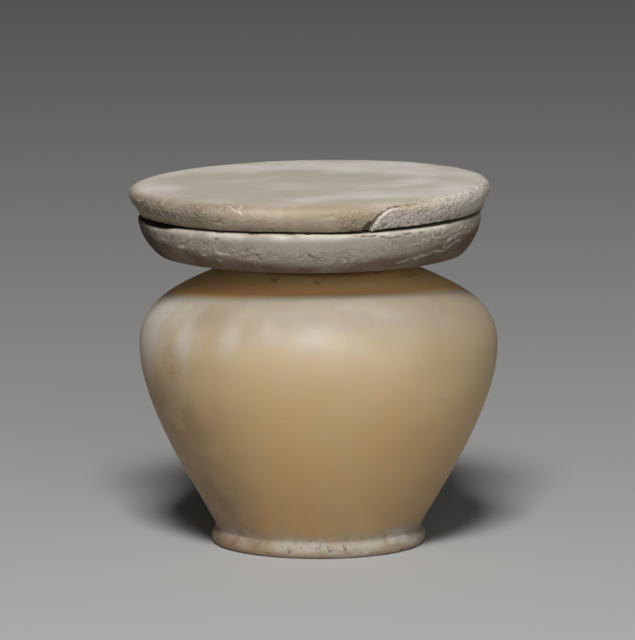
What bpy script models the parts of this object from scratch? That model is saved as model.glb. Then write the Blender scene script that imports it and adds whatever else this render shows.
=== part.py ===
# A kohl jar: a squat stone jar, bored hollow, with a separate rim collar and a disc lid.
# Metres, +Z up. The origin is the middle of the foot, on the surface the jar stands on.
# -Y is the front, where the lid's broken edge shows, and +X is to the right of it.
import math

import bpy
import bmesh
from mathutils import Matrix, Vector

# Jar body, outside
BODY_HEIGHT = 0.0330            # from the ground to the flat top of the shoulder
FOOT_RADIUS = 0.0126            # widest point of the foot's rounded edge
FOOT_SOLE_RADIUS = 0.0120       # flat underside the jar stands on
WAIST_RADIUS = 0.01205          # neck of the wall just above the foot
WAIST_HEIGHT = 0.0019
WAIST_FLARE = 0.0014            # how long the wall stays upright above the waist
BELLY_RADIUS = 0.0210
BELLY_HEIGHT = 0.0236
BELLY_FALL = 0.0086             # fullness of the wall below the belly
BELLY_RISE = 0.0059             # fullness of the shoulder above the belly
SHOULDER_RUN = 0.0044           # length of the nearly straight shoulder below its flat top
SHOULDER_SLOPE = math.radians(32.7)

# Jar body, inside
MOUTH_RADIUS = 0.0080
NECK_WALL = 0.0025              # width of the flat top that the rim collar sits on
FLOOR_THICKNESS = 0.0060
HOLLOW_RADIUS = 0.0102          # widest part of the hollow
HOLLOW_HEIGHT = 0.0200          # height of that widest part
HOLLOW_BOTTOM_RADIUS = 0.0050   # flat middle of the hollow's floor

# Rim collar
SEAM = 0.0003                   # gap between stones that lie on each other
RIM_OFFSET = -0.00085           # the collar and the lid sit to the left of the body's axis
RIM_HEIGHT = 0.00556            # thickness of the collar at its middle
RIM_RADIUS = 0.0201             # at the upper edge
RIM_LOWER_RADIUS = 0.0178       # at the lower edge
RIM_UNDERCUT = 0.00085          # how far the underside rises from the seat to the lower edge
RIM_BULGE = 0.00045             # how far the outer wall swells beyond a straight slope
RIM_EDGE = 0.0004               # rounding of the upper edge
RIM_LEAN = -0.00018             # the upper edge stands this much further left than the seat
TOP_TILT = math.radians(1.25)   # the collar's top and the lid rise towards the right

# Lid
LID_THICKNESS = 0.0032
LID_OVERHANG = 0.0010           # how far the lid reaches beyond the collar
LID_BATTER = 0.0011             # how far the lid's side slopes in towards its lower edge
LID_SKEW = 0.00025              # the lower edge sits this much further right than the upper one
LID_TOP_EDGE = 0.0007           # rounding of the upper edge
LID_LOWER_EDGE = 0.0003         # rounding of the lower edge
BOSS_DEPTH = 0.0016             # low boss that keeps the lid in the mouth
BOSS_CLEARANCE = 0.0006
BOSS_CHAMFER = 0.0003

# Broken places along the lid's lower edge: direction from the front, half width, depth
LID_CHIPS = (
    (math.radians(17), math.radians(7), 0.00045),
    (math.radians(-25), math.radians(6), 0.00030),
    (math.radians(-58), math.radians(12), 0.00035),
    (math.radians(62), math.radians(9), 0.00030),
)

# Faces
TURN_STEPS = 64                 # faces round a turned piece
WALL_STEPS = 12                 # faces along a long curve
EDGE_STEPS = 3                  # faces along a rounded edge
SHARP_ANGLE = math.radians(40)

# Colours, in linear light
HONEY = (0.46, 0.30, 0.145)
GREY = (0.40, 0.365, 0.31)
PALE_GREY = (0.46, 0.425, 0.37)
POLISHED_ROUGHNESS = 0.38
WEATHERED_ROUGHNESS = 0.85


def clear_scene():
    for item in list(bpy.data.objects):
        bpy.data.objects.remove(item, do_unlink=True)


def stone(name, colour, roughness):
    material = bpy.data.materials.new(name)
    material.use_nodes = True
    shader = material.node_tree.nodes["Principled BSDF"]
    shader.inputs["Base Color"].default_value = (*colour, 1.0)
    shader.inputs["Roughness"].default_value = roughness
    shader.inputs["Metallic"].default_value = 0.0
    return material


def smooth_curve(start, start_handle, end_handle, end, steps):
    """Points after the start on a cubic curve in the (radius, height) plane."""
    corners = (Vector(start), Vector(start_handle), Vector(end_handle), Vector(end))
    points = []
    for step in range(1, steps + 1):
        t = step / steps
        weights = ((1 - t) ** 3, 3 * t * (1 - t) ** 2, 3 * t * t * (1 - t), t ** 3)
        point = sum((weight * corner for weight, corner in zip(weights, corners)), Vector((0.0, 0.0)))
        points.append(tuple(point))
    return points


def bowed_line(start, end, bow, steps):
    """Points after the start on an arc from start to end that bows out to its right by the given height."""
    chord = Vector(end) - Vector(start)
    along = chord.normalized()
    side = Vector((along.y, -along.x))
    half = chord.length / 2
    radius = (half * half + bow * bow) / (2 * bow)
    reach = math.asin(half / radius)
    middle = (Vector(start) + Vector(end)) / 2 + side * (bow - radius)
    points = []
    for step in range(1, steps + 1):
        angle = reach * (2 * step / steps - 1)
        points.append(tuple(middle + radius * (side * math.cos(angle) + along * math.sin(angle))))
    return points


def turned(name, outline, centre_x, material):
    """Spin an outline of (radius, height) points about the upright axis at centre_x.

    An outline that starts and ends on the axis closes at two poles; any other is closed on itself.
    """
    mesh = bpy.data.meshes.new(name)
    work = bmesh.new()
    on_axis = outline[0][0] == 0.0
    row = [work.verts.new((radius, 0.0, height)) for radius, height in outline]
    edges = [work.edges.new(pair) for pair in zip(row, row[1:])]
    if not on_axis:
        edges.append(work.edges.new((row[-1], row[0])))
    bmesh.ops.spin(work, geom=row + edges, cent=(0, 0, 0), axis=(0, 0, 1), dvec=(0, 0, 0),
                   angle=math.tau, steps=TURN_STEPS, use_merge=True)
    bmesh.ops.remove_doubles(work, verts=work.verts, dist=1e-6)
    bmesh.ops.translate(work, verts=work.verts, vec=(centre_x, 0, 0))
    bmesh.ops.recalc_face_normals(work, faces=work.faces)
    work.to_mesh(mesh)
    work.free()
    mesh.materials.append(material)
    mesh.shade_smooth()
    mesh.set_sharp_from_angle(angle=SHARP_ANGLE)
    piece = bpy.data.objects.new(name, mesh)
    bpy.context.collection.objects.link(piece)
    return piece


def body_outside():
    """From the middle of the sole, over the foot and the belly, to the shoulder's flat top."""
    waist = (WAIST_RADIUS, WAIST_HEIGHT)
    belly = (BELLY_RADIUS, BELLY_HEIGHT)
    top = (MOUTH_RADIUS + NECK_WALL, BODY_HEIGHT)
    shoulder = (top[0] + SHOULDER_RUN * math.cos(SHOULDER_SLOPE),
                top[1] - SHOULDER_RUN * math.sin(SHOULDER_SLOPE))
    foot_side = (FOOT_RADIUS, WAIST_HEIGHT / 2)
    foot_swell = WAIST_HEIGHT / 4
    points = [(0.0, 0.0), (FOOT_SOLE_RADIUS, 0.0)]
    points += smooth_curve(points[-1], (FOOT_RADIUS, 0.0), (FOOT_RADIUS, foot_swell), foot_side, EDGE_STEPS)
    points += smooth_curve(foot_side, (FOOT_RADIUS, WAIST_HEIGHT - foot_swell), waist, waist, EDGE_STEPS)
    points += smooth_curve(waist, (WAIST_RADIUS, WAIST_HEIGHT + WAIST_FLARE),
                           (BELLY_RADIUS, BELLY_HEIGHT - BELLY_FALL), belly, WALL_STEPS)
    points += smooth_curve(belly, (BELLY_RADIUS, BELLY_HEIGHT + BELLY_RISE), shoulder, top, WALL_STEPS)
    return points


def body_hollow():
    """From the mouth's edge down the inside wall to the middle of the floor."""
    mouth = (MOUTH_RADIUS, BODY_HEIGHT)
    widest = (HOLLOW_RADIUS, HOLLOW_HEIGHT)
    floor = (HOLLOW_BOTTOM_RADIUS, FLOOR_THICKNESS)
    upper_reach = (BODY_HEIGHT - HOLLOW_HEIGHT) / 2
    lower_reach = (HOLLOW_HEIGHT - FLOOR_THICKNESS) / 2
    points = [mouth]
    points += smooth_curve(mouth, (MOUTH_RADIUS, BODY_HEIGHT - upper_reach),
                           (HOLLOW_RADIUS, HOLLOW_HEIGHT + upper_reach), widest, WALL_STEPS // 2)
    points += smooth_curve(widest, (HOLLOW_RADIUS, HOLLOW_HEIGHT - lower_reach),
                           (HOLLOW_RADIUS, FLOOR_THICKNESS), floor, WALL_STEPS // 2)
    points.append((0.0, FLOOR_THICKNESS))
    return points


def make_jar_body():
    material = stone("honey_travertine", HONEY, POLISHED_ROUGHNESS)
    return turned("jar_body", body_outside() + body_hollow(), 0.0, material)


def tilt_about(point):
    """The turn that lifts the right side of the collar's top and of the lid."""
    return Matrix.Translation(point) @ Matrix.Rotation(-TOP_TILT, 4, "Y") @ Matrix.Translation(-point)


def rim_seat():
    return BODY_HEIGHT + SEAM


def rim_top_middle():
    return Vector((RIM_OFFSET + RIM_LEAN, 0.0, rim_seat() + RIM_HEIGHT))


def make_rim_ring():
    material = stone("grey_travertine", GREY, WEATHERED_ROUGHNESS)
    seat = rim_seat()
    top = seat + RIM_HEIGHT
    lower_edge = (RIM_LOWER_RADIUS, seat + RIM_UNDERCUT)
    side_top = (RIM_RADIUS, top - RIM_EDGE)
    outline = [(MOUTH_RADIUS, seat), (MOUTH_RADIUS + NECK_WALL, seat), lower_edge]
    outline += bowed_line(lower_edge, side_top, RIM_BULGE, WALL_STEPS // 2)
    outline += smooth_curve(side_top, (RIM_RADIUS, top), (RIM_RADIUS, top), (RIM_RADIUS - RIM_EDGE, top),
                            EDGE_STEPS)
    outline.append((MOUTH_RADIUS, top))
    ring = turned("rim_ring", outline, RIM_OFFSET, material)
    # The seat stays level, and the top leans with the lid that lies on it
    leaned = tilt_about(rim_top_middle()) @ Matrix.Translation((RIM_LEAN, 0.0, 0.0))
    for vertex in ring.data.vertices:
        share = (vertex.co.z - seat) / RIM_HEIGHT
        vertex.co = vertex.co.lerp(leaned @ vertex.co, share)
    return ring


def chip_depth(angle):
    """How deep the lid's lower edge is broken away in one direction from the front."""
    depth = 0.0
    for middle, half_width, deepest in LID_CHIPS:
        away = abs(math.remainder(angle - middle, math.tau)) / half_width
        if away < 1.0:
            depth += deepest * math.cos(away * math.pi / 2) ** 2
    return depth


def make_lid():
    material = stone("pale_grey_travertine", PALE_GREY, WEATHERED_ROUGHNESS)
    under = rim_top_middle().z + SEAM
    top = under + LID_THICKNESS
    radius = RIM_RADIUS + LID_OVERHANG
    lower_radius = radius - LID_BATTER
    boss_radius = MOUTH_RADIUS - BOSS_CLEARANCE
    boss_bottom = under - BOSS_DEPTH
    lower_edge = (lower_radius, under + LID_LOWER_EDGE)
    side_top = (radius, top - LID_TOP_EDGE)
    outline = [(0.0, boss_bottom), (boss_radius - BOSS_CHAMFER, boss_bottom),
               (boss_radius, boss_bottom + BOSS_CHAMFER), (boss_radius, under),
               (lower_radius - LID_LOWER_EDGE, under)]
    outline += smooth_curve(outline[-1], (lower_radius, under), lower_edge, lower_edge, EDGE_STEPS)
    outline += smooth_curve(lower_edge, (lower_radius + LID_BATTER / 2, under + LID_THICKNESS / 3),
                            (radius, top - LID_THICKNESS / 2), side_top, EDGE_STEPS)
    outline += smooth_curve(side_top, (radius, top - LID_TOP_EDGE / 2), (radius - LID_TOP_EDGE / 2, top),
                            (radius - LID_TOP_EDGE, top), EDGE_STEPS)
    outline.append((0.0, top))
    middle_x = rim_top_middle().x
    lid = turned("lid", outline, middle_x, material)
    for vertex in lid.data.vertices:
        from_axis = Vector((vertex.co.x - middle_x, vertex.co.y))
        if from_axis.length < lower_radius - 2 * LID_LOWER_EDGE:
            continue
        lowness = max(0.0, (side_top[1] - vertex.co.z) / (side_top[1] - under))
        depth = chip_depth(math.atan2(from_axis.x, -from_axis.y)) * lowness
        vertex.co.xy -= from_axis.normalized() * depth
        vertex.co.x += LID_SKEW * lowness
    lid.data.transform(tilt_about(rim_top_middle()))
    return lid


clear_scene()
make_jar_body()
make_rim_ring()
make_lid()
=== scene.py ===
import math

import bpy
import numpy as np
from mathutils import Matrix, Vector, noise


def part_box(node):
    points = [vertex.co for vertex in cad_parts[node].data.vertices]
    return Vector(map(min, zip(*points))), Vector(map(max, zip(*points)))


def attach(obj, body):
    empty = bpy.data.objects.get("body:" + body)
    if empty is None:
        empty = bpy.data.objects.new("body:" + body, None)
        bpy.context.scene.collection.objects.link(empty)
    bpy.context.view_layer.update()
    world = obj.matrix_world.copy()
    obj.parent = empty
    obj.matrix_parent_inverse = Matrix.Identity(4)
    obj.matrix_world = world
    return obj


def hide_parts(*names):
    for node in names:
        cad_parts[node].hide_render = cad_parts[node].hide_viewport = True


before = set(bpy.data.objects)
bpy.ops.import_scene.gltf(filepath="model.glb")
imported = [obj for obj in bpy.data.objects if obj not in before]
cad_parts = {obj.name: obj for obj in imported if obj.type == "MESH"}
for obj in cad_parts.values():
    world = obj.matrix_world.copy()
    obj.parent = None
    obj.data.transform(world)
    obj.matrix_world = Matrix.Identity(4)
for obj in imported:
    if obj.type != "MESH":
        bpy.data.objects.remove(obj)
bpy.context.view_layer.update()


# Jar body
# One lump of honey-coloured travertine, turned and rubbed smooth outside and drilled hollow from the mouth.
# It stands on its own low foot. A chalky bloom clouds the shoulder, and the foot's edge is bruised white.
MM = 0.001
body_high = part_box("jar_body")[1]
BODY_HEIGHT = body_high[2]
BELLY_RADIUS = body_high[0]
BELLY_HEIGHT = 23.6 * MM
BELLY_FALL = 8.6 * MM           # fullness of the wall below the belly
BELLY_RISE = 5.9 * MM           # fullness of the shoulder above it
SHOULDER_RUN = 4.4 * MM         # nearly straight part of the shoulder below its flat top
SHOULDER_SLOPE = math.radians(32.7)
FOOT_RADIUS = 12.58 * MM
FOOT_SOLE_RADIUS = 11.95 * MM
WAIST_RADIUS = 12.05 * MM
WAIST_HEIGHT = 1.9 * MM
WAIST_FLARE = 1.4 * MM
MOUTH_RADIUS = 8.0 * MM
NECK_WALL = 2.5 * MM            # flat top of the shoulder, which carries the rim collar
FLOOR_THICKNESS = 6.0 * MM
HOLLOW_RADIUS = 10.2 * MM
HOLLOW_HEIGHT = 20.0 * MM
HOLLOW_BOTTOM_RADIUS = 5.0 * MM
BODY_SIDES = 96                 # sides of the first, coarse turning
AXIS_DOT = 0.5 * MM             # small flat left round the axis at the ends of a turning
SMOOTHING = 2                   # times that each coarse turning is subdivided
SAME_PLACE = 0.001 * MM         # points closer than this are one


def smooth_curve(start, start_handle, end_handle, end, steps):
    """Points after the start on a cubic curve in the (radius, height) plane."""
    corners = [np.array(corner) for corner in (start, start_handle, end_handle, end)]
    points = []
    for step in range(1, steps + 1):
        t = step / steps
        weights = ((1 - t) ** 3, 3 * t * (1 - t) ** 2, 3 * t * t * (1 - t), t ** 3)
        points.append(tuple(sum(weight * corner for weight, corner in zip(weights, corners))))
    return points


def draw_profile(name, stations):
    """Draw a line through the (radius, height) stations, point by point, and leave it open in edit mode."""
    bpy.ops.object.select_all(action="DESELECT")
    bpy.ops.mesh.primitive_plane_add(size=1 * MM)
    piece = bpy.context.object
    piece.name = name
    bpy.ops.object.mode_set(mode="EDIT")
    bpy.ops.mesh.merge(type="CENTER")
    radius, height = stations[0]
    bpy.ops.transform.translate(value=(radius, 0, height))
    for next_radius, next_height in stations[1:]:
        step = (next_radius - radius, 0, next_height - height)
        bpy.ops.mesh.extrude_region_move(TRANSFORM_OT_translate={"value": step})
        radius, height = next_radius, next_height
    bpy.ops.mesh.select_all(action="SELECT")
    return piece


def turn_piece(name, stations, sides):
    """Turn a stone from its profile, which ends close to the axis, or closes on itself if it is bored."""
    piece = draw_profile(name, stations)
    bpy.ops.mesh.spin(steps=sides, angle=math.tau, use_auto_merge=True, center=(0, 0, 0), axis=(0, 0, 1))
    bpy.ops.mesh.select_all(action="SELECT")
    bpy.ops.mesh.remove_doubles(threshold=SAME_PLACE)
    bpy.ops.mesh.normals_make_consistent(inside=False)
    bpy.ops.object.mode_set(mode="OBJECT")
    bpy.ops.object.modifier_add(type="SUBSURF")
    rounding = piece.modifiers[-1]
    rounding.levels = rounding.render_levels = SMOOTHING
    bpy.ops.object.modifier_apply(modifier=rounding.name)
    bpy.ops.object.mode_set(mode="EDIT")
    bpy.ops.mesh.select_all(action="SELECT")
    bpy.ops.mesh.fill_holes(sides=0)
    bpy.ops.mesh.normals_make_consistent(inside=False)
    bpy.ops.object.mode_set(mode="OBJECT")
    bpy.ops.object.shade_smooth()
    return piece


def skin_of(piece):
    """Where each point of a piece's skin is, and which way it faces."""
    count = len(piece.data.vertices)
    places = np.empty(count * 3)
    facings = np.empty(count * 3)
    piece.data.vertices.foreach_get("co", places)
    piece.data.vertices.foreach_get("normal", facings)
    return places.reshape(-1, 3), facings.reshape(-1, 3)


def move_skin(piece, places):
    """Put each point of the skin at its new place."""
    piece.data.vertices.foreach_set("co", places.ravel())
    piece.data.update()


def press_skin(piece, amounts):
    """Move each point of the skin along its own normal, outward where the amount is positive."""
    places, facings = skin_of(piece)
    move_skin(piece, places + facings * amounts[:, None])


def keep_on_skin(piece, name, values):
    """Keep a value for each point of the skin, for the piece's material to read."""
    layer = piece.data.attributes.new(name, "FLOAT", "POINT")
    layer.data.foreach_set("value", np.asarray(values, float))


def mottle(places, size, octaves=3, shift=0.0):
    """Cloudy unevenness between about -1 and 1, with lumps of the given size; a shift gives other lumps."""
    return np.array([noise.fractal(Vector(place) / size, 1.0, 2.0, octaves, noise_basis="PERLIN_ORIGINAL")
                     for place in places + shift])


def eased(values, low, high):
    """0 below low, 1 above high and smooth between; low may be the larger."""
    share = np.clip((values - low) / (high - low), 0, 1)
    return share * share * (3 - 2 * share)


def azimuths_of(places):
    """Directions from the front towards the right, in degrees."""
    return np.degrees(np.arctan2(places[:, 0], -places[:, 1]))


def on_wall(points, radius):
    """Marks given in degrees from the front and millimetres up, as lengths along and up a round wall."""
    return [(math.radians(turn) * radius, level * MM) for turn, level in points]


def oval(along, up, middle, level, half_length, half_height):
    """1 in the middle of a small oval mark and 0 outside it."""
    return eased(np.hypot((along - middle) / half_length, (up - level) / half_height), 1.0, 0.2)


waist = (WAIST_RADIUS, WAIST_HEIGHT)
belly = (BELLY_RADIUS, BELLY_HEIGHT)
neck_edge = (MOUTH_RADIUS + NECK_WALL, BODY_HEIGHT)
shoulder = (neck_edge[0] + SHOULDER_RUN * math.cos(SHOULDER_SLOPE),
            neck_edge[1] - SHOULDER_RUN * math.sin(SHOULDER_SLOPE))
sole_edge = (FOOT_SOLE_RADIUS, 0.0)
foot_side = (FOOT_RADIUS, WAIST_HEIGHT / 2)
mouth = (MOUTH_RADIUS, BODY_HEIGHT)
widest = (HOLLOW_RADIUS, HOLLOW_HEIGHT)
floor_edge = (HOLLOW_BOTTOM_RADIUS, FLOOR_THICKNESS)
upper_reach = (BODY_HEIGHT - HOLLOW_HEIGHT) / 2
lower_reach = (HOLLOW_HEIGHT - FLOOR_THICKNESS) / 2

# A station close to a corner keeps it firm when the turning is subdivided
body_stations = [(AXIS_DOT, 0.0), (FOOT_SOLE_RADIUS / 2, 0.0), (FOOT_SOLE_RADIUS - 1 * MM, 0.0), sole_edge]
body_stations += smooth_curve(sole_edge, (FOOT_RADIUS, 0.0), (FOOT_RADIUS, WAIST_HEIGHT / 4), foot_side, 4)
body_stations += smooth_curve(foot_side, (FOOT_RADIUS, WAIST_HEIGHT * 3 / 4), waist, waist, 4)
body_stations += smooth_curve(waist, (WAIST_RADIUS, WAIST_HEIGHT + WAIST_FLARE),
                              (BELLY_RADIUS, BELLY_HEIGHT - BELLY_FALL), belly, 17)
body_stations += smooth_curve(belly, (BELLY_RADIUS, BELLY_HEIGHT + BELLY_RISE), shoulder, neck_edge, 12)
body_stations += [(MOUTH_RADIUS + 0.2 * MM, BODY_HEIGHT), mouth]
body_stations += smooth_curve(mouth, (MOUTH_RADIUS, BODY_HEIGHT - upper_reach),
                              (HOLLOW_RADIUS, HOLLOW_HEIGHT + upper_reach), widest, 6)
body_stations += smooth_curve(widest, (HOLLOW_RADIUS, HOLLOW_HEIGHT - lower_reach),
                              (HOLLOW_RADIUS, FLOOR_THICKNESS), floor_edge, 6)
body_stations += [(HOLLOW_BOTTOM_RADIUS / 2, FLOOR_THICKNESS), (AXIS_DOT, FLOOR_THICKNESS)]
jar_body = turn_piece("jar_body_stone", body_stations, BODY_SIDES)

# White bruises on the foot: degrees from the front, then height, half length and half height in millimetres,
# and how strong each is
FOOT_BRUISES = (
    (-60, 2.2, 3.4, 0.7, 1.0),
    (-44, 1.3, 1.2, 0.9, 0.5),
    (-17, 1.4, 1.9, 1.0, 0.9),
    (-4, 1.5, 1.8, 0.8, 0.8),
    (10, 1.0, 1.5, 0.8, 0.8),
    (27, 1.4, 2.2, 1.2, 0.8),
    (47, 2.3, 2.2, 1.0, 1.3),
    (62, 1.4, 2.5, 1.0, 0.5),
    (105, 1.6, 4.0, 1.0, 0.8),
    (150, 1.3, 3.0, 0.9, 0.7),
    (-150, 1.7, 3.5, 1.0, 0.8),
    (-108, 1.2, 3.0, 0.9, 0.7),
)
FOOT_TOP = 2.4 * MM             # middle of the ragged border between the bruised foot and the honey wall
BLOTCH_SPREAD = 1.5             # how much larger a bruise's pale halo is than the bruise
HAND_WOBBLE = 0.05 * MM
BRUISE_DEPTH = 0.09 * MM
SOLE_CHIP_DEPTH = 0.22 * MM

places, facings = skin_of(jar_body)
heights = places[:, 2]
outside = eased(facings[:, 0] * places[:, 0] + facings[:, 1] * places[:, 1], 0.0, 1 * MM)
foot_top = FOOT_TOP + 0.5 * MM * mottle(places, 4 * MM, 2, shift=0.02)
foot_zone = eased(heights, foot_top + 1.4 * MM, foot_top - 0.9 * MM) * outside
along = np.radians(azimuths_of(places)) * FOOT_RADIUS + 0.5 * MM * mottle(places, 1.3 * MM, 2, shift=0.09)
blotches = 0
for turn, level, half_length, half_height, strength in FOOT_BRUISES:
    blotches = blotches + strength * oval(along, heights, math.radians(turn) * FOOT_RADIUS, level * MM,
                                          half_length * BLOTCH_SPREAD * MM, half_height * BLOTCH_SPREAD * MM)
wobble = -HAND_WOBBLE * (1 + mottle(places, 11 * MM, 2))
bruises = BRUISE_DEPTH * eased(mottle(places, 1.3 * MM, 3), 0.05, 0.55) * foot_zone
sole_chips = SOLE_CHIP_DEPTH * eased(mottle(places, 1.7 * MM, 2, shift=0.03), 0.22, 0.60)
wear = wobble - bruises * eased(heights, 0.02 * MM, 0.3 * MM)
wear -= sole_chips * eased(heights, 0.7 * MM, 0.1 * MM)
# The sole itself stays flat, because the jar stands on it
press_skin(jar_body, wear * outside * eased(heights, 0.0, 0.2 * MM))
keep_on_skin(jar_body, "bruise", foot_zone)
keep_on_skin(jar_body, "blotch", np.clip(blotches, 0, 1.3) * outside)


class Tone:
    """A socket in a material's nodes: sums on tones add Math nodes, and paint adds any other node."""

    def __init__(self, tree, socket=None):
        self.tree = tree
        self.socket = socket

    def paint(self, kind, values, settings=None, result=0):
        node = self.tree.nodes.new("ShaderNode" + kind)
        for setting, value in (settings or {}).items():
            setattr(node, setting, value)
        for slot, value in values.items():
            if isinstance(value, Tone):
                self.tree.links.new(value.socket, node.inputs[slot])
            else:
                node.inputs[slot].default_value = value
        return Tone(self.tree, node.outputs[result])

    def sum(self, operation, *values):
        return self.paint("Math", dict(enumerate(values)), {"operation": operation})

    def __add__(self, other):
        return self.sum("ADD", self, other)

    __radd__ = __add__

    def __sub__(self, other):
        return self.sum("SUBTRACT", self, other)

    def __rsub__(self, other):
        return self.sum("SUBTRACT", other, self)

    def __mul__(self, other):
        return self.sum("MULTIPLY", self, other)

    __rmul__ = __mul__

    def __truediv__(self, other):
        return self.sum("DIVIDE", self, other)

    def eased(self, low, high):
        """0 below low, 1 above high and smooth between; low may be the larger."""
        limits = {"From Min": min(low, high), "From Max": max(low, high)}
        share = self.paint("MapRange", {"Value": self, **limits}, {"interpolation_type": "SMOOTHSTEP"})
        return share if low < high else 1 - share

    def within(self, start, full_start, full_end, end):
        """1 between the two full limits, fading to 0 at the start and at the end."""
        return self.eased(start, full_start) * self.eased(end, full_end)

    def lumps(self, size, detail=3.0, roughness=0.5, distortion=0.0):
        """Cloudy noise round 0.5, read at these coordinates, with lumps of the given size in metres."""
        return self.paint("TexNoise", {"Vector": self, "Scale": 1 / size, "Detail": detail,
                                       "Roughness": roughness, "Distortion": distortion})

    def cells(self, size):
        """Distance from the middle of rounded cells of the given size."""
        return self.paint("TexVoronoi", {"Vector": self, "Scale": 1 / size})

    def stretched(self, along_x, along_y, along_z):
        """These coordinates drawn out, so that a pattern on them is longer where the number is larger."""
        return self.paint("Mapping", {"Vector": self, "Scale": (1 / along_x, 1 / along_y, 1 / along_z)})

    def kept(self, name):
        """The value of this name that was kept on the piece's skin."""
        return self.paint("Attribute", {}, {"attribute_name": name}, result=2)

    def near_line(self, across, start, end, half_width):
        """1 on a straight mark from start to end, fading out at half_width; this and across are lengths."""
        run, rise = end[0] - start[0], end[1] - start[1]
        from_start, off_start = self - start[0], across - start[1]
        share = (from_start * run + off_start * rise) / (run * run + rise * rise)
        share = self.sum("MINIMUM", self.sum("MAXIMUM", share, 0.0), 1.0)
        beside = from_start - share * run
        beyond = off_start - share * rise
        return self.sum("SQRT", beside * beside + beyond * beyond).eased(half_width, half_width * 0.3)

    def near_lines(self, across, marks, radius, half_width):
        """1 on any of the straight marks, each given as its two ends on a round wall."""
        drawn = 0
        for mark in marks:
            start, end = on_wall(mark, radius)
            drawn = self.near_line(across, start, end, half_width) + drawn
        return drawn

    def over(self, top, under):
        """The top colour where this mask is 1, over the colour under it."""
        return self.paint("Mix", {0: self, 6: under, 7: top}, {"data_type": "RGBA"}, result=2)


def start_stone(name, sss_weight=0.0, sss_radius=(1, 1, 1), sss_scale=0.001, specular=0.5):
    """A new stone: its shader, and the place on the object that its patterns are read at."""
    material = bpy.data.materials.new(name)
    material.use_nodes = True
    shader = material.node_tree.nodes["Principled BSDF"]
    shader.inputs["Subsurface Weight"].default_value = sss_weight
    shader.inputs["Subsurface Radius"].default_value = sss_radius
    shader.inputs["Subsurface Scale"].default_value = sss_scale
    shader.inputs["Specular IOR Level"].default_value = specular
    place = Tone(material.node_tree).paint("TexCoord", {}, result=3)
    return material, shader, place


def finish_stone(place, shader, tint, roughness, relief, depth):
    """Lead the colour, the roughness and the fine relief to the stone's shader."""
    links = place.tree.links
    bump = place.paint("Bump", {"Height": relief, "Distance": depth})
    links.new(tint.socket, shader.inputs["Base Color"])
    links.new(roughness.socket, shader.inputs["Roughness"])
    links.new(bump.socket, shader.inputs["Normal"])


def colour(red, green, blue):
    """An opaque colour, as a shader's socket takes it."""
    return (red, green, blue, 1.0)


HONEY = colour(0.465, 0.33, 0.17)
PALE_HONEY = colour(0.41, 0.318, 0.18)
DEEP_HONEY = colour(0.43, 0.27, 0.112)
# Deep honey brightened into a painted glow of light through the stone, for the band in the collar's shadow
AMBER_GLOW = colour(0.78, 0.51, 0.21)
CHALK = colour(0.43, 0.39, 0.337)
SHOULDER_DUST = colour(0.29, 0.242, 0.183)
FOOT_BROWN = colour(0.235, 0.188, 0.138)
BRUISE_WHITE = colour(0.325, 0.292, 0.240)
OLIVE = colour(0.42, 0.325, 0.17)
# Brown for painted shade on the body and the foot, and for the hairline cracks
SHADE_AND_VEIN_BROWN = colour(0.235, 0.150, 0.080)
KOHL_STAIN = colour(0.10, 0.065, 0.035)
FOOT_DIRT = colour(0.14, 0.118, 0.092)
POLISH = 0.5                    # roughness of the rubbed stone
GLOW = 0.72                     # share of the light that wanders under the honey stone's surface
GLOW_REACH = 5.0 * MM
GLOW_SHARES = (1.0, 0.55, 0.24)  # how much of that reach red, green and blue light have
BODY_RELIEF = 0.02 * MM

# Chalky clouds on the body: direction from the front and height of the middle, half width and half height,
# in degrees and millimetres, and how strong each is
CLOUDS = (
    (-73, 25.4, 12, 4.0, 0.90),
    (-60, 28.4, 13, 1.8, 0.50),
    (-48, 25.7, 7, 2.8, 0.80),
    (-31, 26.4, 5.0, 2.4, 0.62),
    (-17, 27.4, 5.0, 1.4, 0.40),
    (0.5, 27.0, 10.0, 1.6, 0.46),
    (4, 29.4, 36, 1.5, 0.30),
    (38, 28.2, 20, 1.8, 0.14),
    (68, 26.5, 16, 3.0, 0.14),
    (-53, 20.5, 7, 4.0, 0.10),
    (130, 26.0, 30, 2.6, 0.40),
    (-140, 22.0, 24, 3.0, 0.40),
)
# Fine pale scratches on the front, and small dark marks in the foot: both ends of each, as degrees from the
# front and millimetres of height
SCRATCHES = (((33.5, 24.6), (36.5, 22.2)), ((41.0, 21.6), (46.0, 19.3)))
FOOT_SPECKS = (((-16.4, 1.25), (-15.6, 0.85)), ((5.2, 1.3), (5.9, 1.0)), ((13.6, 1.5), (14.6, 1.1)))
# Heights over which the honey stone deepens and pales, over which painted shade darkens it low down, and over
# which the bloom and the dust on it gather
HONEY_DEEPENS = (4 * MM, 24 * MM)
HONEY_PALES = (17 * MM, 26.5 * MM)
SHADE_LOW_DOWN = (11 * MM, 3 * MM)
BLOOM_GATHERS = (17 * MM, 27 * MM)
DUST_GATHERS = (23.5 * MM, 28.8 * MM)
# Directions of the sides darkened with painted shade, and of two stretches of shoulder with little chalk and
# a
# little painted shade: where each starts, is full from and full to, and ends, in degrees from the front
LEFT_SHADED_SIDE = (-160, -110, -58, -14)
RIGHT_SHADED_SIDE = (38, 75, 100, 150)
QUIET_LEFT = (-56, -44, -34, -24)
QUIET_RIGHT = (24, 40, 100, 150)
GLOW_BAND_LINE = 31.1 * MM        # lower border of the band in the collar's shadow that is painted with an amber glow, at the front
GLOW_BAND_DROP = 1.55 * MM        # how much lower the border is at the sides than at the front
GLOW_BAND_SLANT = 0.32 * MM       # how much it slants down to the left besides
GLOW_BAND_EDGE = 0.3 * MM
WEAK_SPOT = (-54, 23.0)         # a patch of hairline cracks: degrees from the front and millimetres of height
WEAK_SPOT_SIZE = (6, 2.8)       # its half width and half height

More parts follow.
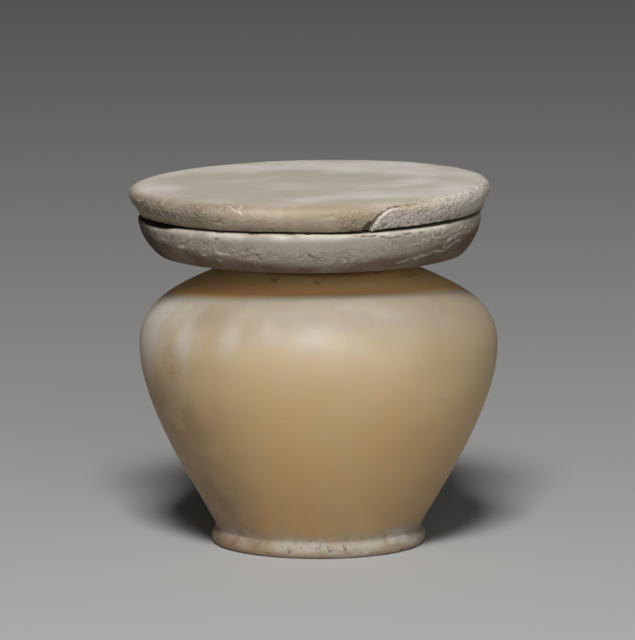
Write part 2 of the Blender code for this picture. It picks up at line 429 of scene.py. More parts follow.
material, shader, place = start_stone("honey_travertine", GLOW, GLOW_SHARES, GLOW_REACH, specular=0.4)
across = place.paint("SeparateXYZ", {0: place}, result=0)
into = place.paint("SeparateXYZ", {0: place}, result=1)
height = place.paint("SeparateXYZ", {0: place}, result=2)
azimuth = place.sum("ARCTAN2", across, 0 - into)
turn = azimuth * math.degrees(1)
round_the_belly = azimuth * BELLY_RADIUS
unrolled = place.paint("CombineXYZ", {0: round_the_belly, 1: height})

# The stone's own colours, deeper towards the belly and paler on the shoulder, with painted shade low down and
# at the sides
depth_of_colour = height.eased(*HONEY_DEEPENS) * 0.75 + place.lumps(9 * MM, 3, 0.5).eased(0.35, 0.65) * 0.3
tint = depth_of_colour.over(HONEY, DEEP_HONEY)
tint = (height.eased(*HONEY_PALES) * 0.85).over(PALE_HONEY, tint)
tint = (place.lumps(6 * MM, 3, 0.5, 0.4).eased(0.50, 0.68) * 0.5).over(OLIVE, tint)
painted_shade = turn.within(*LEFT_SHADED_SIDE) * height.eased(25 * MM, 18 * MM) * 0.8
painted_shade = turn.within(*RIGHT_SHADED_SIDE) * height.eased(16 * MM, 7 * MM) * 0.4 + painted_shade
painted_shade = height.eased(*SHADE_LOW_DOWN) * 0.32 + painted_shade
tint = (painted_shade * (place.lumps(4 * MM, 3, 0.5).eased(0.30, 0.60) * 0.45 + 0.45)).over(SHADE_AND_VEIN_BROWN, tint)

# Chalky clouds with upright streaks at the left and level ones at the front, over a thin bloom and dust
wander = place.lumps(5 * MM, 3, 0.6) - 0.5
cloud_cover = 0
for middle, level, half_width, half_height, strength in CLOUDS:
    beside = (turn - middle) / half_width
    above = (height - level * MM) / (half_height * MM)
    reach = place.sum("SQRT", beside * beside + above * above) + wander * 1.1
    cloud_cover = reach.eased(1.45, 0.15) * strength + cloud_cover
upright_bands = unrolled.stretched(1, 4, 1).lumps(1.7 * MM, 3, 0.5, 0.4)
level_bands = unrolled.stretched(3.5, 1, 1).lumps(2.6 * MM, 3, 0.5, 0.3)
bands = upright_bands + (level_bands - upright_bands) * turn.eased(-42, -22)
cloud_cover = cloud_cover * (bands.eased(0.30, 0.66) * 0.65 + 0.55)
bloom = height.eased(*BLOOM_GATHERS) * (place.lumps(4 * MM, 4, 0.6).eased(0.30, 0.75) * 0.22 + 0.10)
# A line that follows the edge of the collar's cast shadow; the band above it gets less chalk and a painted
# amber glow of light through the stone
lean_of_line = GLOW_BAND_SLANT * place.sum("SINE", azimuth)
glow_band_line = GLOW_BAND_LINE - GLOW_BAND_DROP * (1 - place.sum("COSINE", azimuth)) + lean_of_line
glow_band = (height - glow_band_line).eased(-GLOW_BAND_EDGE, GLOW_BAND_EDGE)
thin_chalk_and_shade = turn.within(*QUIET_LEFT) * 0.7 + turn.within(*QUIET_RIGHT)
thin_chalk_and_shade = thin_chalk_and_shade * height.eased(20 * MM, 24 * MM)
chalk_cover = (cloud_cover + bloom) * (1 - glow_band * 0.85) * (1 - thin_chalk_and_shade * 0.45)
dust_cover = place.lumps(3 * MM, 4, 0.55).eased(0.30, 0.65) * 0.30 + 0.58
tint = (height.eased(*DUST_GATHERS) * dust_cover).over(SHOULDER_DUST, tint)
# Painted shade on the sides of the upper belly
tint = (thin_chalk_and_shade * 0.22).over(SHADE_AND_VEIN_BROWN, tint)
tint = chalk_cover.over(CHALK, tint)
tint = (glow_band * 0.85).over(AMBER_GLOW, tint)

# Specks, scratches, fine rings from turning, and hairline cracks
specks = place.cells(1.5 * MM).eased(0.13, 0.04) * place.lumps(5 * MM).eased(0.52, 0.62)
tint = (specks * 0.35).over(CHALK, tint)
scratches = round_the_belly.near_lines(height, SCRATCHES, BELLY_RADIUS, 0.12 * MM)
rings = unrolled.stretched(9, 1, 1).lumps(0.55 * MM, 3, 0.6).eased(0.60, 0.74)
rings = rings * height.within(10 * MM, 13 * MM, 19 * MM, 22 * MM)
tint = (scratches * 0.30 + rings * 0.22).over(CHALK, tint)
beside = (turn - WEAK_SPOT[0]) / WEAK_SPOT_SIZE[0]
above = (height - WEAK_SPOT[1] * MM) / (WEAK_SPOT_SIZE[1] * MM)
weak_spot = (beside * beside + above * above).eased(1.2, 0.3)
hairlines = place.sum("ABSOLUTE", place.lumps(3 * MM, 4, 0.65) - 0.5).eased(0.022, 0.0) * weak_spot
tint = (hairlines * 0.5 + weak_spot * 0.16).over(SHADE_AND_VEIN_BROWN, tint)

# The foot: brown ground, white bruises, painted shade on its left side, and dirt in the small pits
bruised = place.kept("bruise")
blotch = place.kept("blotch")
blocks = unrolled.stretched(1.2, 1, 1).lumps(1.6 * MM, 4, 0.55)
tint = (bruised * 0.8).over(FOOT_BROWN, tint)
bruise_cover = blocks.eased(0.40, 0.58) * 0.22 + blotch * (blocks.eased(0.34, 0.50) * 0.8 + 0.3)
bruise_cover = bruised * bruise_cover
foot_shade = bruised * turn.eased(-12, -55)
tint = (foot_shade * 0.7).over(SHADE_AND_VEIN_BROWN, tint)
tint = bruise_cover.over(BRUISE_WHITE, tint)
tint = (foot_shade * 0.5).over(SHADE_AND_VEIN_BROWN, tint)
crumbled = place.lumps(0.5 * MM, 3, 0.6)
dirt = place.lumps(0.9 * MM, 3, 0.6).eased(0.58, 0.70) * bruised * 0.5
shaken = round_the_belly + (crumbled - 0.5) * (0.8 * MM)
dirt = shaken.near_lines(height, FOOT_SPECKS, BELLY_RADIUS, 0.34 * MM) * crumbled.eased(0.35, 0.6) + dirt
tint = dirt.over(FOOT_DIRT, tint)

# Dark stains beside the mouth, and the fine relief of turning marks, grain and bruises
stains = height.eased(31.0 * MM, 32.8 * MM) * place.lumps(2.4 * MM, 3).eased(0.56, 0.72)
tint = (stains * 0.6).over(KOHL_STAIN, tint)
turning_marks = place.stretched(30, 30, 1).lumps(0.35 * MM, 2)
grain = place.lumps(0.5 * MM, 4, 0.6)
sheen = POLISH + bruise_cover * 0.3 + chalk_cover * 0.10 + grain.eased(0.4, 0.7) * 0.08
relief = turning_marks * 0.45 + grain * 0.35 - specks * 0.4 + bruised * place.lumps(0.6 * MM, 3) * 2
relief = relief - scratches * 0.8 - hairlines * 0.8
finish_stone(place, shader, tint, sheen, relief, BODY_RELIEF)
jar_body.data.materials.append(material)

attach(jar_body, "root")
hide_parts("jar_body")


# Rim collar
# A flat ring of greyer travertine, turned on its own and bedded on the shoulder a little off the body's axis.
# Its upper face is a shade out of true, so the lid on it rises to the right, and its wall is weathered.
SEAM = 0.3 * MM                 # gap between stones that lie on each other
RIM_OFFSET = -0.85 * MM
RIM_LEAN = -0.18 * MM           # how much further left the upper edge stands
RIM_HEIGHT = 5.56 * MM
RIM_RADIUS = 20.1 * MM
RIM_LOWER_RADIUS = 17.8 * MM
RIM_UNDERCUT = 0.85 * MM
RIM_BULGE = 0.45 * MM
RIM_EDGE = 0.35 * MM
TOP_TILT = math.radians(1.25)
RIM_SIDES = 192

seat = BODY_HEIGHT + SEAM
rim_top = seat + RIM_HEIGHT


def bowed_line(start, end, bow, steps):
    """Points after the start on a flat arc from start to end that swells outward by bow."""
    start, end = np.array(start), np.array(end)
    along = (end - start) / np.linalg.norm(end - start)
    side = np.array((along[1], -along[0]))
    points = []
    for step in range(1, steps + 1):
        share = step / steps
        points.append(tuple(start + (end - start) * share + side * bow * (1 - (2 * share - 1) ** 2)))
    return points


def lean_over(places, level, thickness):
    """Lean a piece whose seat stays level: the share of the lean grows from its seat to its top."""
    share = (places[:, 2] - level) / thickness
    leaned = places.copy()
    leaned[:, 0] += share * RIM_LEAN
    leaned[:, 2] += share * (places[:, 0] - RIM_OFFSET) * math.tan(TOP_TILT)
    return leaned


lower_edge = (RIM_LOWER_RADIUS, seat + RIM_UNDERCUT)
rim_side_top = (RIM_RADIUS, rim_top - RIM_EDGE)
rim_stations = [(MOUTH_RADIUS, seat), (MOUTH_RADIUS + 0.15 * MM, seat), (MOUTH_RADIUS + NECK_WALL, seat),
                (RIM_LOWER_RADIUS - 3 * MM, seat + RIM_UNDERCUT * 0.6),
                (RIM_LOWER_RADIUS - 0.3 * MM, seat + RIM_UNDERCUT * 0.96), lower_edge]
rim_stations += bowed_line(lower_edge, rim_side_top, RIM_BULGE, 11)
rim_stations += smooth_curve(rim_side_top, (RIM_RADIUS, rim_top - RIM_EDGE / 2),
                             (RIM_RADIUS - RIM_EDGE / 2, rim_top), (RIM_RADIUS - RIM_EDGE, rim_top), 3)
rim_stations += [(RIM_RADIUS - 2.5 * MM, rim_top), (MOUTH_RADIUS + 0.3 * MM, rim_top),
                 (MOUTH_RADIUS, rim_top), (MOUTH_RADIUS, seat)]
rim_ring = turn_piece("rim_collar_stone", rim_stations, RIM_SIDES)


def side_of_line(along, up, corners):
    """Distance from a bent line, positive on its right hand as it is walked."""
    nearest = np.full(along.shape, np.inf)
    signed = np.zeros(along.shape)
    for (from_along, from_up), (to_along, to_up) in zip(corners, corners[1:]):
        run, rise = to_along - from_along, to_up - from_up
        off_along, off_up = along - from_along, up - from_up
        share = np.clip((off_along * run + off_up * rise) / (run * run + rise * rise), 0, 1)
        off_along, off_up = off_along - run * share, off_up - rise * share
        distance = np.hypot(off_along, off_up)
        side = np.sign(rise * off_along - run * off_up)
        closer = distance < nearest
        signed = np.where(closer, distance * side, signed)
        nearest = np.where(closer, distance, nearest)
    return signed


def hump(distances, width):
    """1 on a line, falling softly to about a third at the width on either side of it."""
    return np.exp(-(distances / width) ** 2)


def lines_on(along, up, marks, radius, width, waver=0.0):
    """Soft lines on a round wall, 1 in their middle; waver is how far each point of them is shifted."""
    return sum(hump(side_of_line(along, up, on_wall(mark, radius)) + waver, width) for mark in marks)


def within(values, start, full_start, full_end, end):
    """1 between the two full limits, fading to 0 at the start and at the end."""
    return eased(values, start, full_start) * eased(values, end, full_end)


# Marks in the collar's wall, drawn as degrees from the front and millimetres up from its seat: short sunken
# nicks under its upper edge, and raised wavy lines
RIM_NICKS = (
    ((15.0, 5.30), (19.0, 5.12), (22.0, 5.10)),
    ((24.0, 4.98), (27.5, 4.68), (31.0, 4.72)),
    ((33.0, 4.95), (37.0, 5.02), (40.0, 4.86)),
    ((-33.0, 4.75), (-31.0, 4.95)),
)
RIM_RIDGES = (
    ((73, 4.5), (68, 3.9), (64.5, 3.75), (61, 3.1), (57, 3.0), (53.5, 2.5), (49, 2.55), (44, 2.1), (38, 2.05),
     (32, 1.8)),
    ((69, 4.7), (63, 4.35), (58.5, 3.75), (55, 3.6), (52, 3.0)),
    ((62, 4.75), (56, 4.35), (50, 4.0), (45, 4.15), (40, 3.75), (35, 3.6)),
    ((-66, 4.3), (-62, 3.9), (-57, 3.95), (-52, 3.35), (-47, 3.3), (-43, 2.7), (-38, 2.75), (-33, 2.2)),
    ((-44, 4.0), (-40, 3.5), (-35, 3.4), (-31, 2.8), (-26, 2.7), (-22, 2.1)),
)
RIM_LOSS = 0.04 * MM            # how much the whole wall is worn down, and how deep or high each mark is
RIM_UNEVENNESS = 0.03 * MM
RIM_GRIT = 0.07 * MM
RIM_PIT = 0.05 * MM
RIM_RIDGE = 0.07 * MM
RIM_NIBBLE = 0.10 * MM
RIM_NICK = 0.15 * MM
WEDGE_DEPTH = 0.28 * MM         # a worn gap below the lid at the front left
SMOOTH_STEP = 0.05 * MM         # how far the smooth lower part of the wall lies back
ROUGH_LINE = 1.70 * MM          # lower border of the rough part of the wall at the front
ROUGH_LINE_RISE = 2.3 * MM      # how much higher that border is at the sides
WEDGE_SPAN = (-79, -72, -62, -50)   # directions where the gap starts, is full from and full to, and ends
LEFT_END = -92                  # direction of the left end of the collar, darkened with dirt and painted shade
PROUD_EDGE = 0.23 * MM          # how far the upper edge stands up at the front left, close under the lid
PROUD_SPAN = ((-66, 0), (-46, 1), (-2, 1), (14, 0))     # directions, and the share of that height at each

places = skin_of(rim_ring)[0]
azimuths = azimuths_of(places)
along = np.radians(azimuths) * RIM_RADIUS
up = places[:, 2] - seat
wall = eased(np.hypot(places[:, 0], places[:, 1]), RIM_LOWER_RADIUS - 1 * MM, RIM_LOWER_RADIUS)
# Above a sagging line, low in front and high at the sides, the wall is rough; below it, smooth and browner
line = ROUGH_LINE + ROUGH_LINE_RISE * np.abs(np.sin(np.radians(azimuths))) ** 1.6
line += 0.15 * MM * mottle(places, 2.5 * MM, 2)
band = eased(up, line - 0.25 * MM, line + 0.25 * MM) * eased(up, line + 2.6 * MM, line + 1.3 * MM)
patchy = eased(mottle(places, 3.0 * MM, 2), -0.40, 0.30)
worn = wall * np.clip(band * (0.35 + 0.65 * patchy) + 0.10 * patchy, 0, 1)
slanted = places.copy()
slanted[:, 2] += 0.6 * np.abs(along)
grit = mottle(slanted * (1, 1, 1.6), 0.8 * MM, 3)
pits = eased(mottle(places, 0.8 * MM, 2, shift=0.01), 0.15, 0.6)
waved = 0.25 * MM * mottle(places, 1.2 * MM, 2, shift=0.05)
ridges = wall * lines_on(along, up, RIM_RIDGES, RIM_RADIUS, 0.13 * MM, waved)
ridges *= eased(mottle(places, 1.3 * MM, 2, shift=0.04) + 0.2 * np.sign(azimuths), -0.25, 0.25)
nicks = wall * lines_on(along, up, RIM_NICKS, RIM_RADIUS, 0.10 * MM, 0.3 * waved)
nicks *= eased(mottle(places, 0.9 * MM, 2, shift=0.06), -0.25, 0.25)
near_top = hump(up - RIM_HEIGHT, 0.45 * MM)
nibbled = eased(mottle(places, 1.4 * MM, 2), 0.1, 0.6) * near_top
wedge = within(azimuths, *WEDGE_SPAN) * near_top
amount = -RIM_LOSS + RIM_UNEVENNESS * mottle(places, 5 * MM, 2) + worn * (RIM_GRIT * grit - RIM_PIT * pits)
amount += RIM_RIDGE * ridges - RIM_NIBBLE * nibbled - WEDGE_DEPTH * wedge - RIM_NICK * nicks
amount -= SMOOTH_STEP * eased(line - up, 0.3 * MM, -0.2 * MM)
press_skin(rim_ring, wall * amount)
off_left_end = np.abs(azimuths - LEFT_END)
left_end = eased(off_left_end + 3 * mottle(places, 2 * MM, 2), 33, 21)
# A painted highlight along the rounded upper edge, where the light catches it
edge_highlight = hump(up - 5.2 * MM, 0.35 * MM) * (0.4 + 0.6 * patchy) * eased(off_left_end, 14, 34)
# The lid's topside is rubbed; the collar isn't, but its material reads the same marks
keep_on_skin(rim_ring, "rubbed", np.zeros(len(places)))
keep_on_skin(rim_ring, "worn", worn)
# The dark pits mark also darkens the sunken nicks, and the worn wedge as painted shade
keep_on_skin(rim_ring, "pits", np.clip(worn * pits + nicks * 0.9 + wedge * 0.6, 0, 1))
keep_on_skin(rim_ring, "earthy", wall * eased(up, line + 0.45 * MM, line - 0.2 * MM))
# Painted shade with dark soil at the worn wedge and at the left end, under the lid's overhang
keep_on_skin(rim_ring, "dirt_and_shade", wall * np.clip(wedge + left_end, 0, 1))
keep_on_skin(rim_ring, "pale_and_highlight", wall * np.clip(edge_highlight + 0.5 * ridges - nicks, 0, 1))

places = skin_of(rim_ring)[0]
proud = np.interp(azimuths, *zip(*PROUD_SPAN)) * wall
places[:, 2] += PROUD_EDGE * proud * eased(places[:, 2], rim_top - 0.9 * MM, rim_top)
places[:, 0] += RIM_OFFSET
move_skin(rim_ring, lean_over(places, seat, RIM_HEIGHT))

GRAIN_WHITE = colour(0.66, 0.62, 0.54)
DRAB_GREY = colour(0.29, 0.257, 0.207)
DARK_DRAB = colour(0.225, 0.193, 0.15)
UMBER = colour(0.108, 0.066, 0.040)
DIRT_AND_SHADE_BROWN = colour(0.052, 0.036, 0.027)
DUN = colour(0.30, 0.245, 0.185)
PIT_BROWN = colour(0.13, 0.10, 0.07)
WEATHERED = 0.88                # roughness of the grey stone
GREY_RELIEF = 0.06 * MM


def paint_grey_stone(name, piece, light, dark, earth, grain_size, grain_strength):
    """Weathered stone between a light and a dark tone, with the marks that were kept on its skin."""
    material, shader, place = start_stone(name, specular=0.3)
    worn, pits, earthy = place.kept("worn"), place.kept("pits"), place.kept("earthy")
    pale_and_highlight, rubbed, dirt_and_shade = place.kept("pale_and_highlight"), place.kept("rubbed"), place.kept("dirt_and_shade")

    # The stone's own tones, with earth in its turning marks, and dark soil mixed with painted shade in the
    # kept places, heavier in the turning marks
    clouds = place.lumps(9 * MM, 3, 0.5)
    haze = place.stretched(2.2, 1.0, 1.0).lumps(2.6 * MM, 4, 0.55, 0.3)
    tint = ((clouds * 0.7 + haze * 0.3).eased(0.30, 0.68) - rubbed * 0.55).over(light, dark)
    patches = place.lumps(3.2 * MM, 3, 0.55)
    tint = (earthy * (patches.eased(0.30, 0.65) * 0.30 + 0.70)).over(earth, tint)
    rings = place.stretched(3.5, 3.5, 1).lumps(0.7 * MM, 4, 0.6)
    tint = (earthy * rings.eased(0.50, 0.70) * 0.4).over(dark, tint)
    tint = (dirt_and_shade * (patches * 0.5 + rings * 0.5 + 0.45)).over(DIRT_AND_SHADE_BROWN, tint)

    # Pale grains and dark pits where it is worn, the kept pale marks with their painted highlights, the kept
    # pits with their painted shade, and dust over all
    grains = place.cells(grain_size)
    dust = place.lumps(0.35 * MM, 4, 0.65)
    worn = worn * (place.lumps(1.2 * MM, 3, 0.6).eased(0.36, 0.60) * 0.7 + 0.3) * grain_strength
    bright = worn * grains.eased(0.50, 0.10) * place.lumps(0.5 * MM, 2).eased(0.40, 0.60)
    tint = (bright + pale_and_highlight * (dust * 1.1 + 0.1)).over(GRAIN_WHITE, tint)
    tint = (worn * grains.eased(0.45, 0.85) * 0.65 + pits * 0.45).over(PIT_BROWN, tint)
    tint = (dust.eased(0.52, 0.75) * 0.22).over(DUN, tint)
    rough = WEATHERED + dust.eased(0.3, 0.7) * 0.1
    relief = dust * 0.6 + worn * (1 - grains) * 1.2 + rings * 0.4
    relief = relief + place.lumps(0.7 * MM, 4, 0.6) * (worn + 0.4)
    finish_stone(place, shader, tint, rough, relief, GREY_RELIEF)
    piece.data.materials.append(material)


paint_grey_stone("grey_travertine", rim_ring, DRAB_GREY, DARK_DRAB, UMBER, 0.24 * MM, 0.55)

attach(rim_ring, "root")
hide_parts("rim_ring")


# Lid
# A loose disc of the same grey travertine, flat and smooth on top, with a rounded and badly weathered edge.
# It lies on the collar, kept in place by a low boss underneath. A flake has split from its front right edge.
LID_THICKNESS = 3.2 * MM
LID_RADIUS = 21.05 * MM
LID_LOWER_RADIUS = 20.0 * MM
LID_TOP_EDGE = 0.8 * MM
LID_LOWER_EDGE = 0.2 * MM
LID_SKEW = 0.25 * MM            # the lower edge sits this much further right than the upper one
BOSS_DEPTH = 1.6 * MM
BOSS_RADIUS = 7.4 * MM
BOSS_EDGE = 0.3 * MM
LID_SIDES = 240

under = rim_top + SEAM
lid_top = under + LID_THICKNESS
lid_middle = RIM_OFFSET + RIM_LEAN
boss_face = under - BOSS_DEPTH
lid_side_top = (LID_RADIUS, lid_top - LID_TOP_EDGE)
lid_lower_edge = (LID_LOWER_RADIUS, under + LID_LOWER_EDGE)
lid_stations = [(AXIS_DOT, boss_face), (BOSS_RADIUS / 2, boss_face), (BOSS_RADIUS - 1 * MM, boss_face),
                (BOSS_RADIUS - BOSS_EDGE, boss_face), (BOSS_RADIUS, boss_face + BOSS_EDGE),
                (BOSS_RADIUS, under - 0.1 * MM), (BOSS_RADIUS + 0.1 * MM, under),
                (LID_LOWER_RADIUS - 3 * MM, under), (LID_LOWER_RADIUS - LID_LOWER_EDGE, under)]
lid_stations += smooth_curve(lid_stations[-1], (LID_LOWER_RADIUS, under), lid_lower_edge, lid_lower_edge, 2)
lid_stations += smooth_curve(lid_lower_edge, (LID_LOWER_RADIUS + 0.55 * MM, under + LID_THICKNESS / 3),
                             (LID_RADIUS, lid_top - LID_THICKNESS / 2), lid_side_top, 6)
lid_stations += smooth_curve(lid_side_top, (LID_RADIUS, lid_top - LID_TOP_EDGE / 2),
                             (LID_RADIUS - LID_TOP_EDGE / 2, lid_top),
                             (LID_RADIUS - LID_TOP_EDGE, lid_top), 3)
lid_stations += [(radius * MM, lid_top) for radius in (19.0, 16.0, 12.0, 7.5, 3.0)]
lid_stations += [(AXIS_DOT, lid_top)]
lid = turn_piece("lid_stone", lid_stations, LID_SIDES)

# Marks in the lid's edge, drawn as degrees from the front and millimetres up from the lid's underside, and on
# over its top edge: the border of the split flake, and fine raised lines
FLAKE_EDGE = (
    (18.6, -0.6), (20.3, 0.44), (21.5, 0.92), (22.2, 1.28), (23.6, 1.97), (26.0, 2.37), (29.4, 2.52),
    (33.1, 2.52), (39.0, 2.62), (45.4, 2.73), (52.8, 2.77), (80.0, 3.2),
)
LID_RIDGES = (
    ((-26.6, 3.67), (-24.2, 2.69), (-22.0, 2.30)),
    ((-22.3, 4.0), (-22.2, 2.71), (-21.9, 2.25)),
    ((-21.9, 2.25), (-21.3, 1.53)),
    ((-53.1, 2.75), (-54.3, 4.2)),
)
# Lumps along the lid's right edge: degrees from the front, and then height and half length in millimetres
EDGE_LUMPS = (
    (44.5, 2.75, 0.6),
    (48.0, 3.0, 0.7),
    (52.5, 2.9, 0.8),
    (57.0, 3.15, 0.7),
    (61.0, 3.0, 0.8),
    (66.0, 3.3, 0.8),
    (71.5, 3.6, 0.9),
    (77.5, 3.5, 0.9),
    (83.0, 3.6, 0.8),
)
# Directions of worn and stained stretches: where each starts, is full from and full to, and ends, in degrees
# from the front
LEFT_PATCH = (-94, -82, -40, -22)
WORN_FRONT = (-30, -16, 12, 30)
BROWN_FRONT = (-70, -45, 30, 55)
CRUMBLED = (6, 12, 20, 26)
RIGHT_END = (40, 48, 84, 96)
FAR_RIGHT = (50, 66, 96, 112)
LID_LOSS = 0.05 * MM            # how much the whole edge is worn down, and how deep or high each mark is
LID_UNEVENNESS = 0.04 * MM
FLAKE_LIP = 0.08 * MM
FLAKE_HOLLOW = 0.26 * MM
LID_CRUMBS = 0.03 * MM
LID_GRIT = 0.06 * MM
LID_PIT = 0.06 * MM
LID_BITE = 0.08 * MM
LID_LUMP = 0.07 * MM
LID_RIDGE = 0.05 * MM
BRIGHT_LIP = 0.06 * MM
SOFT_FRONT = 0.12 * MM          # extra rounding of the upper edge at the front
LID_SAG = 0.25 * MM             # how far the lower edge would hang towards the collar at a share of 1
# Shares of the sag by direction: least at the front left, and little where the flake has split off
SAG_SHARES = (
    (-180, 0.6), (-115, 0.6), (-92, 0.9), (-80, 0.8), (-72, 0.1), (-64, 0.0), (-10, 0.1), (12, 0.9),
    (24, 0.5), (45, 0.3), (62, 0.4), (80, 0.9), (110, 0.6), (180, 0.6),
)

places = skin_of(lid)[0]
azimuths = azimuths_of(places)
radii = np.hypot(places[:, 0], places[:, 1])
onto_top = eased(places[:, 2], lid_top - LID_TOP_EDGE, lid_top)
along = np.radians(azimuths) * LID_RADIUS
up = places[:, 2] - under + onto_top * (LID_RADIUS - radii)
edge = eased(radii, LID_LOWER_RADIUS - 1.5 * MM, LID_LOWER_RADIUS)
edge *= eased(places[:, 2], under - 0.2 * MM, under)
side = edge * eased(up, 3.5 * MM, 2.7 * MM)

# The split: a scar to the right of its ragged border, a raised lip that is also painted with a highlight, and
# a hollow to the left of it
ragged = side_of_line(along, up, on_wall(FLAKE_EDGE, LID_RADIUS)) + 0.16 * MM * mottle(places, 0.7 * MM, 3)
in_scar = eased(ragged, -0.1 * MM, 0.25 * MM) * eased(azimuths, 75, 50)
lip = within(ragged, -0.10 * MM, 0.06 * MM, 0.15 * MM, 1.4 * MM) * eased(azimuths, 58, 34)
hollow_width = 0.15 * MM + 0.85 * MM * eased(up, 2.2 * MM, 0.3 * MM)
hollow_edge = ragged + 0.18 * MM * mottle(places, 0.6 * MM, 2, shift=0.08)
hollow = eased(ragged, 0.04 * MM, -0.06 * MM) * eased(hollow_edge, -hollow_width, -0.5 * hollow_width)
hollow *= eased(azimuths, 40, 26)
raised_lip_and_highlight = hump(ragged - 0.12 * MM, 0.16 * MM) * eased(azimuths, 34, 24) * eased(up, 2.8 * MM, 2.2 * MM)
raised_lip_and_highlight *= edge * (0.55 + 0.45 * eased(mottle(places, 0.45 * MM, 2, shift=0.07), -0.3, 0.3))

# Worn places: a grainy band at the left, crumbs beside the split, streaks in the scar, and the right end
left_patch = within(azimuths, *LEFT_PATCH) * eased(up, 0.5 * MM, 1.1 * MM)
crumbs = within(azimuths, *CRUMBLED) * eased(ragged, 0.05 * MM, -0.02 * MM) * eased(up, 3.2 * MM, 2.2 * MM)
right_end = within(azimuths, *RIGHT_END) * eased(up, 1.9 * MM, 2.5 * MM)
strip = eased(up, 2.4 * MM, 2.9 * MM)
patchy = eased(mottle(places, 3.6 * MM, 2), -0.25, 0.40)
slanted = places.copy()
slanted[:, 2] -= 0.5 * along
streaky = 0.35 + 0.65 * eased(mottle(slanted * (0.6, 0.6, 1.2), 0.9 * MM, 2), -0.25, 0.30)
worn = side * (left_patch * (0.65 + 0.35 * patchy) + 0.9 * in_scar * streaky + 0.45 * crumbs + 0.30 * patchy)
worn += edge * eased(up, 4.9 * MM, 3.4 * MM) * strip * (0.30 * patchy + 0.4 * right_end)
worn = np.clip(worn, 0, 1)
grit = mottle(places, 0.34 * MM, 3)
pits = eased(mottle(places, 0.5 * MM, 2, shift=0.01), 0.10, 0.55)
bites = side * eased(mottle(places, 1.6 * MM, 2, shift=0.02), 0.30, 0.75)
lumps = 0
for turn_to, level, size in EDGE_LUMPS:
    lumps = lumps + edge * oval(along, up, math.radians(turn_to) * LID_RADIUS, level * MM, size * MM,
                                size * 0.7 * MM)
ridges = edge * lines_on(along, up, LID_RIDGES, LID_RADIUS, 0.10 * MM)
softened = within(azimuths, *WORN_FRONT) * hump(up - 3.0 * MM, 0.8 * MM)

amount = LID_UNEVENNESS * mottle(places, 4 * MM, 2) - LID_LOSS - SOFT_FRONT * softened
amount += FLAKE_LIP * lip - FLAKE_HOLLOW * hollow - LID_CRUMBS * crumbs
amount = edge * amount + worn * (LID_GRIT * grit - LID_PIT * pits)
amount += LID_LUMP * lumps + LID_RIDGE * ridges + BRIGHT_LIP * raised_lip_and_highlight - LID_BITE * bites
press_skin(lid, amount)

keep_on_skin(lid, "worn", worn)
# The pits mark also darkens the hollow beside the split as a painted shadow
keep_on_skin(lid, "pits", np.clip(worn * pits + edge * hollow * 0.7, 0, 1))
far_right = within(azimuths, *FAR_RIGHT)
earthy_side = side * eased(up, 3.3 * MM, 2.2 * MM) * (1 - 0.8 * in_scar) * (1 - 0.7 * far_right)
on_the_front = within(azimuths, *BROWN_FRONT) * eased(up, 9.0 * MM, 4.5 * MM)
topside = eased(places[:, 2], under + 1 * MM, under + 2 * MM)
top_turn = edge * within(up, 2.3 * MM, 3.0 * MM, 3.5 * MM, 4.8 * MM) * eased(azimuths, 22, 8)
keep_on_skin(lid, "earthy", np.clip(earthy_side + 0.45 * topside * on_the_front + 0.6 * top_turn, 0, 1))
# Pale raised lines, lumps and scar, and a painted highlight along the split's raised lip
pale_and_highlight = ridges * 0.8 + lumps * 0.6 + raised_lip_and_highlight * 1.5 + 0.3 * side * in_scar
keep_on_skin(lid, "pale_and_highlight", np.clip(pale_and_highlight, 0, 1.5))
# Painted shade along the rounded upper edge, above the seam and in the hollow, with darkening at the crumbs
# and the left patch
painted_edge_shade = hump(up - 3.3 * MM, 0.65 * MM) * (1 - 0.6 * right_end)
shade_and_grime = eased(up, 1.1 * MM, 0.0) * 0.7 + 0.1 * crumbs + 0.36 * left_patch + 0.8 * hollow
keep_on_skin(lid, "dirt_and_shade", side * np.clip(shade_and_grime, 0, 1) + edge * 0.30 * painted_edge_shade)
off_rubbed = np.hypot(places[:, 0] + 3 * MM, places[:, 1] + 1 * MM) + 3 * MM * mottle(places, 9 * MM, 2)
keep_on_skin(lid, "rubbed", eased(off_rubbed, 17 * MM, 7 * MM) * eased(up, 3 * MM, 5 * MM))

places = skin_of(lid)[0]
lowness = np.clip((lid_side_top[1] - places[:, 2]) / (lid_side_top[1] - under), 0, 1)
places[:, 0] += LID_SKEW * lowness * eased(radii, BOSS_RADIUS, LID_LOWER_RADIUS)
sag = np.interp(azimuths, *zip(*SAG_SHARES))
sag *= eased(radii, BOSS_RADIUS + 4 * MM, LID_LOWER_RADIUS) * eased(places[:, 2], under + 0.9 * MM, under)
places[:, 2] -= LID_SAG * sag
tilted = places.copy()
above_rim = places[:, 2] - rim_top
tilted[:, 0] = places[:, 0] * math.cos(TOP_TILT) - above_rim * math.sin(TOP_TILT) + lid_middle
tilted[:, 2] = places[:, 0] * math.sin(TOP_TILT) + above_rim * math.cos(TOP_TILT) + rim_top
move_skin(lid, tilted)

PALE_GREY = colour(0.61, 0.575, 0.525)
WARM_GREY = colour(0.44, 0.39, 0.325)
TAN = colour(0.362, 0.286, 0.194)
paint_grey_stone("pale_grey_travertine", lid, PALE_GREY, WARM_GREY, TAN, 0.21 * MM, 0.9)

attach(lid, "root")
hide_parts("lid")


# Table and light
# A plain pale sweep of paper, one soft light high in front, and a weak even fill from the front and the room.
SWEEP_WIDTH = 2.4
SWEEP_FRONT = 0.9               # how far the paper runs to the front, and to the back before it curves up
SWEEP_BACK = 1.0
SWEEP_RISE = 0.9
SWEEP_CURVE = 0.35
PAPER = colour(0.38, 0.377, 0.372)
PAPER_ROUGHNESS = 0.9
ROOM_LIGHT = 0.03

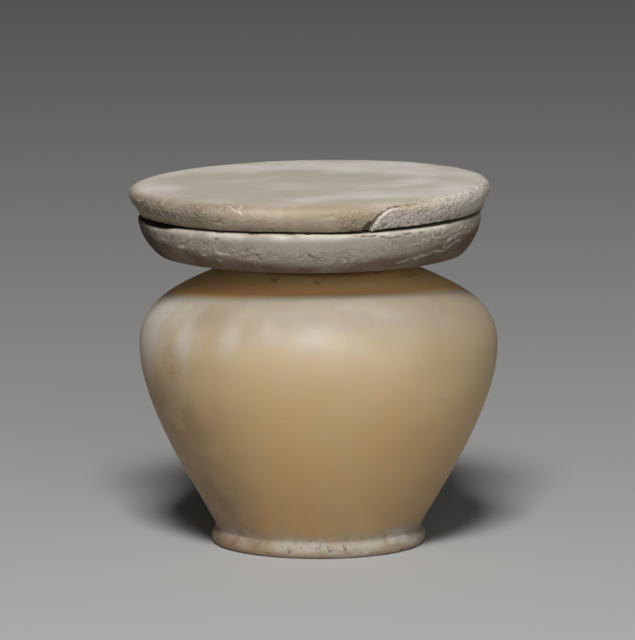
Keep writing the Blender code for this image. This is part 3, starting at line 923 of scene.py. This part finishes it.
fold = (SWEEP_BACK, 0.0)
upright = (SWEEP_BACK + SWEEP_CURVE, SWEEP_CURVE)
sweep_line = [(-SWEEP_FRONT, 0.0), fold]
sweep_line += smooth_curve(fold, (SWEEP_BACK + SWEEP_CURVE / 2, 0.0), (upright[0], SWEEP_CURVE / 2),
                           upright, 16)
sweep_line += [(upright[0], SWEEP_RISE)]
sweep = draw_profile("paper_sweep", sweep_line)
bpy.ops.transform.rotate(value=-math.pi / 2, orient_axis="Z", center_override=(0, 0, 0))
bpy.ops.transform.translate(value=(-SWEEP_WIDTH / 2, 0, 0))
bpy.ops.mesh.extrude_edges_move(TRANSFORM_OT_translate={"value": (SWEEP_WIDTH, 0, 0)})
bpy.ops.mesh.select_all(action="SELECT")
bpy.ops.mesh.normals_make_consistent(inside=True)
bpy.ops.object.mode_set(mode="OBJECT")
bpy.ops.object.shade_smooth()
material = bpy.data.materials.new("pale_paper")
material.use_nodes = True
paper = material.node_tree.nodes["Principled BSDF"]
paper.inputs["Base Color"].default_value = PAPER
paper.inputs["Roughness"].default_value = PAPER_ROUGHNESS
sweep.data.materials.append(material)


def soft_light(name, distance, azimuth, elevation, size, power, aim):
    """A square soft light that faces the aim point; azimuth is counted from the front towards the right."""
    lamp = bpy.data.lights.new(name, "AREA")
    lamp.size = size
    lamp.energy = power
    holder = bpy.data.objects.new(name, lamp)
    away = Vector((math.sin(azimuth) * math.cos(elevation), -math.cos(azimuth) * math.cos(elevation),
                   math.sin(elevation)))
    holder.location = Vector(aim) + away * distance
    holder.rotation_euler = away.to_track_quat("Z", "Y").to_euler()
    bpy.context.collection.objects.link(holder)


soft_light("key", distance=0.7, azimuth=math.radians(-3), elevation=math.radians(46), size=0.17,
           power=5.7, aim=(0, 0, 0.03))
soft_light("front_fill", distance=0.8, azimuth=math.radians(12), elevation=math.radians(13), size=0.40,
           power=1.7, aim=(0, 0, 0.025))

world = bpy.data.worlds.new("room")
world.use_nodes = True
background = world.node_tree.nodes["Background"]
background.inputs["Color"].default_value = colour(1.0, 1.0, 1.0)
background.inputs["Strength"].default_value = ROOM_LIGHT
bpy.context.scene.world = world


# Camera
# A long lens, about 15 cm above the table, that looks a little down on the middle of the jar.
VIEW_DISTANCE = 0.8167
VIEW_ELEVATION = math.radians(8.66)
VIEW_AIM = Vector((-0.12 * MM, 0, 26.09 * MM))
LENS = 393.75

camera = bpy.data.objects.new("camera", bpy.data.cameras.new("camera"))
camera.data.lens = LENS
camera.data.clip_start = 0.01
camera.location = VIEW_AIM + VIEW_DISTANCE * Vector((0, -math.cos(VIEW_ELEVATION), math.sin(VIEW_ELEVATION)))
camera.rotation_euler = (math.pi / 2 - VIEW_ELEVATION, 0, 0)
bpy.context.collection.objects.link(camera)
bpy.context.scene.camera = camera
bpy.context.scene.view_settings.view_transform = "Standard"
